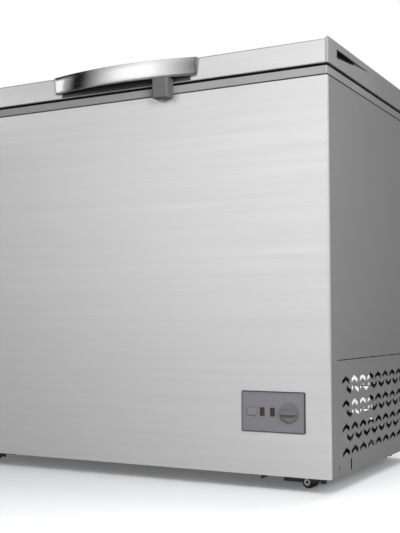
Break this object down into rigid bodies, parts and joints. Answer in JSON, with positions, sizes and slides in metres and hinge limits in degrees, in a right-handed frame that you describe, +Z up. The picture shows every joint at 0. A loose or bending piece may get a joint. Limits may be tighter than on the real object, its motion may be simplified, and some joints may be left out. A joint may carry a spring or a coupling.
{
  "type": "chest freezer",
  "caption": "Chest freezer with a brushed steel front, top-hinged lid with bow handle and lock, wire basket, pierced side vent and low rollers.",
  "frame": {"origin": "centre of the overall box's bottom face, on the floor under the freezer", "axes": "+X along the cabinet's width towards its machine compartment, -Y out of the front, +Z up"},
  "size_m": [0.9002, 0.5962, 0.8492],
  "materials": {
    "brushed_steel_skin": "satin",
    "grey_paint": "satin",
    "silver_paint": "satin",
    "zinc_steel": "satin",
    "black_paint": "satin",
    "grey_plastic": "satin",
    "dark_plastic": "matte",
    "pale_plastic": "satin",
    "foam": "matte",
    "tank_aluminium": "satin",
    "white_plastic": "satin",
    "rubber": "matte",
    "chrome": "polished",
    "copper": "satin",
    "screw_steel": "satin",
    "red_lens": "gloss",
    "green_lens": "gloss",
    "white_coated_wire": "gloss"
  },
  "bodies": {
    "cabinet": {"front_skin": "brushed_steel_skin", "left_side_skin": "grey_paint", "right_side_skin": "grey_paint", "rear_skin": "zinc_steel", "base_pan": "zinc_steel", "inner_liner": "tank_aluminium", "evaporator_coil": "copper", "condenser_coil": "copper", "cabinet_foam": "foam", "breaker_frame": "grey_plastic", "lock_keeper": "zinc_steel", "side_vent_grille": "grey_paint", "rear_compressor_cover": "zinc_steel", "cover_screws": "screw_steel", "mains_cord_gland": "rubber", "compressor_base_plate": "black_paint", "compressor_shell": "black_paint", "compressor_grommets": "rubber", "compressor_bolts": "screw_steel", "start_relay_cover": "dark_plastic", "suction_pipe": "copper", "discharge_pipe": "copper", "filter_drier": "copper", "capillary_tube": "copper", "control_bezel": "grey_plastic", "red_lamp_lens": "red_lens", "green_lamp_lens": "green_lens", "thermostat_body": "dark_plastic", "fast_freeze_switch": "dark_plastic", "drain_tube": "white_plastic", "hinge_bases": "zinc_steel", "hinge_pins": "screw_steel", "hinge_springs": "screw_steel", "hinge_base_screws": "screw_steel", "caster_brackets": "black_paint", "caster_axles": "screw_steel"},
    "lid": {"lid_top_skin": "silver_paint", "lid_front_rail": "grey_plastic", "lid_front_strip": "brushed_steel_skin", "lid_rear_rail": "grey_plastic", "left_end_cap": "grey_plastic", "right_end_cap": "grey_plastic", "lid_foam": "foam", "lid_liner": "white_plastic", "lid_gasket": "rubber", "handle": "chrome", "handle_screws": "screw_steel", "lock_housing": "grey_plastic", "hinge_leaves": "zinc_steel", "leaf_screws": "screw_steel"},
    "key_lock": {"lock_cylinder": "screw_steel", "lock_cam": "zinc_steel"},
    "drain_plug": {"drain_plug": "rubber"},
    "thermostat_knob": {"thermostat_knob": "grey_plastic"},
    "fast_freeze_button": {"fast_freeze_button": "pale_plastic"},
    "basket": {"basket": "white_coated_wire"},
    "front_left_roller": {"front_left_roller": "dark_plastic"},
    "front_right_roller": {"front_right_roller": "dark_plastic"},
    "rear_left_roller": {"rear_left_roller": "dark_plastic"},
    "rear_right_roller": {"rear_right_roller": "dark_plastic"}
  },
  "joints": [
    {"name": "lid_hinge", "type": "hinge", "parent": "cabinet", "child": "lid", "pos_m": [0, 0.28715, 0.8], "axis": [-1, 0, 0], "range_deg": [0, 80]},
    {"name": "key_turn", "type": "hinge", "parent": "lid", "child": "key_lock", "pos_m": [0.09425, -0.27485, 0.775], "axis": [0, 0, 1], "range_deg": [0, 90]},
    {"name": "basket_slide", "type": "slide", "parent": "cabinet", "child": "basket", "axis": [1, 0, 0], "range_m": [-0.505, 0]},
    {"name": "drain_plug_pull", "type": "slide", "parent": "cabinet", "child": "drain_plug", "axis": [0, 0, 1], "range_m": [0, 0.03]},
    {"name": "thermostat_turn", "type": "hinge", "parent": "cabinet", "child": "thermostat_knob", "pos_m": [0.3683, -0.26585, 0.1485], "axis": [0, 1, 0], "range_deg": [0, 270]},
    {"name": "fast_freeze_press", "type": "slide", "parent": "cabinet", "child": "fast_freeze_button", "axis": [0, 1, 0], "range_m": [0, 0.002], "stiffness_N_per_m": 400},
    {"name": "front_left_roll", "type": "hinge", "parent": "cabinet", "child": "front_left_roller", "pos_m": [-0.4075, -0.18585, 0.0125], "axis": [0, 1, 0], "continuous": true},
    {"name": "front_right_roll", "type": "hinge", "parent": "cabinet", "child": "front_right_roller", "pos_m": [0.3765, -0.18585, 0.0125], "axis": [0, 1, 0], "continuous": true},
    {"name": "rear_left_roll", "type": "hinge", "parent": "cabinet", "child": "rear_left_roller", "pos_m": [-0.4075, 0.19415, 0.0125], "axis": [0, 1, 0], "continuous": true},
    {"name": "rear_right_roll", "type": "hinge", "parent": "cabinet", "child": "rear_right_roller", "pos_m": [0.3765, 0.19415, 0.0125], "axis": [0, 1, 0], "continuous": true}
  ]
}
